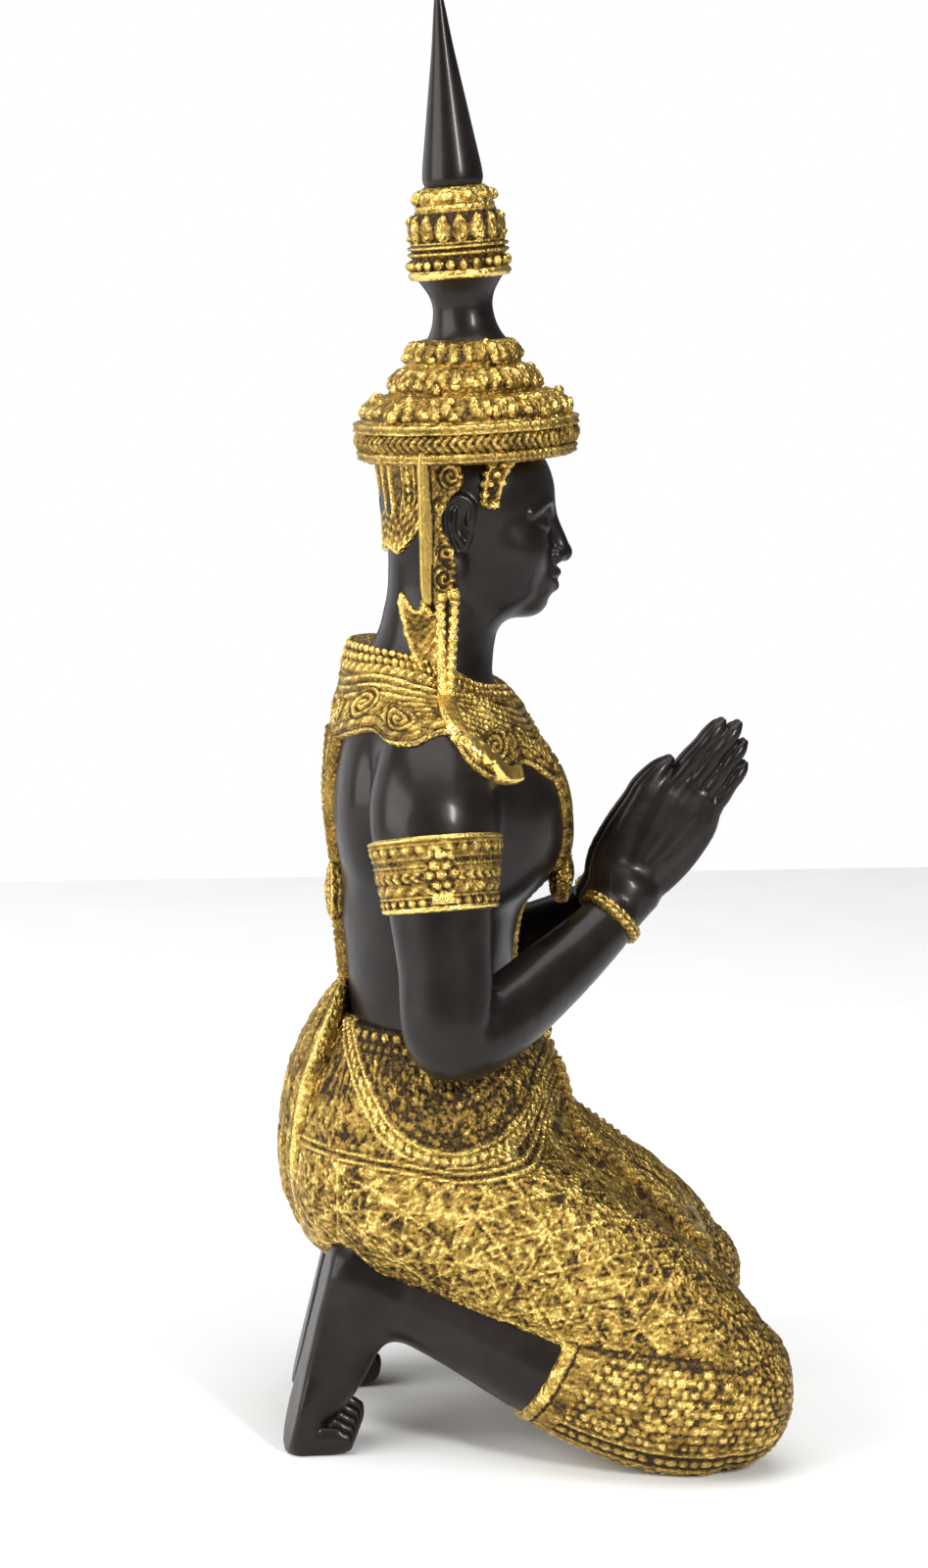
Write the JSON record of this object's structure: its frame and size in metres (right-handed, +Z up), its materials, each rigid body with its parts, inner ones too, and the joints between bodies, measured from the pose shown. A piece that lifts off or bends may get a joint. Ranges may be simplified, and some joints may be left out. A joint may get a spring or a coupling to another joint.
{
  "type": "kneeling praying deity figure",
  "caption": "Cast bronze figure of a kneeling worshipper with palms joined, a tall tiered spire crown, jewelled collar and a patterned wrap, dark skin and gilt dress.",
  "frame": {"origin": "on the ground, under the centre of the figure's bounding box", "axes": "+Z up; the figure faces -Y; its left side is +X"},
  "size_m": [0.142, 0.1352, 0.38],
  "materials": {
    "gilt_bronze": "cast bronze: worn gilding on the dress and ornaments, polished brown-black patina on the skin"
  },
  "bodies": {
    "root": {"kneeling_figure": "gilt_bronze"}
  },
  "joints": []
}
